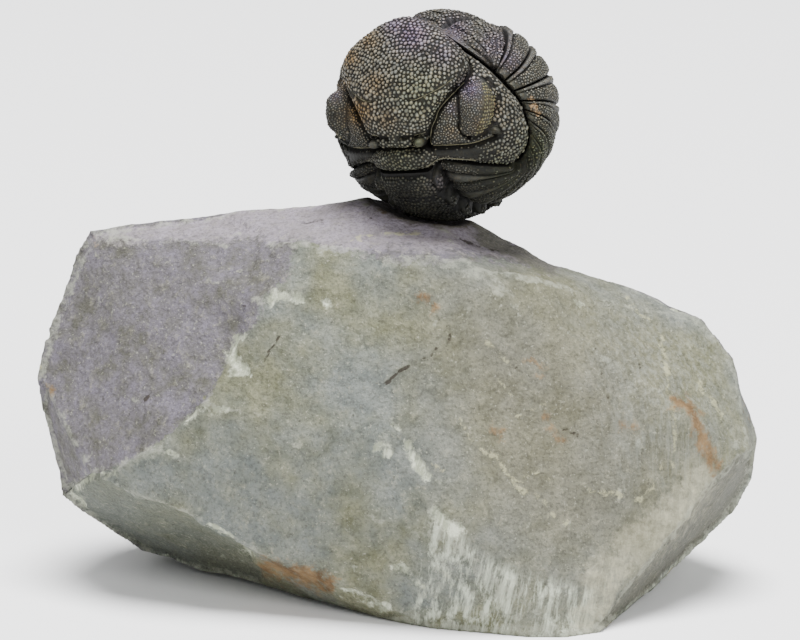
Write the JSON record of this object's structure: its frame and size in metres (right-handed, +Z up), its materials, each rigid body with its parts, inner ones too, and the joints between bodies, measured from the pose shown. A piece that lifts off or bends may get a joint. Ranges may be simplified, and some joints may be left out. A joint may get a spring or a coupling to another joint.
{
  "type": "enrolled trilobite fossil on matrix stone",
  "caption": "Enrolled morocops trilobite fossil, rolled into a ball with granular shell and compound eyes, standing on a broken block of matrix stone.",
  "frame": {"origin": "middle of the bounding box, at the height of the small flat spot under the stone", "axes": "+Z up, +X along the stone's length to the right, -Y towards the face that the picture shows"},
  "size_m": [0.0905, 0.052, 0.0732],
  "materials": {
    "matrix_stone": "dry matt grey-green mudstone, broken and partly ground, with pale tool marks and iron stains",
    "fossil_shell": "dark olive-brown calcite shell, cleaned and lightly polished, densely granulated"
  },
  "bodies": {
    "root": {"matrix_stone": "matrix_stone", "cephalon": "fossil_shell", "thorax_segment_01": "fossil_shell", "thorax_segment_02": "fossil_shell", "thorax_segment_03": "fossil_shell", "thorax_segment_04": "fossil_shell", "thorax_segment_05": "fossil_shell", "thorax_segment_06": "fossil_shell", "thorax_segment_07": "fossil_shell", "thorax_segment_08": "fossil_shell", "thorax_segment_09": "fossil_shell", "thorax_segment_10": "fossil_shell", "thorax_segment_11": "fossil_shell", "pygidium": "fossil_shell"}
  },
  "joints": []
}
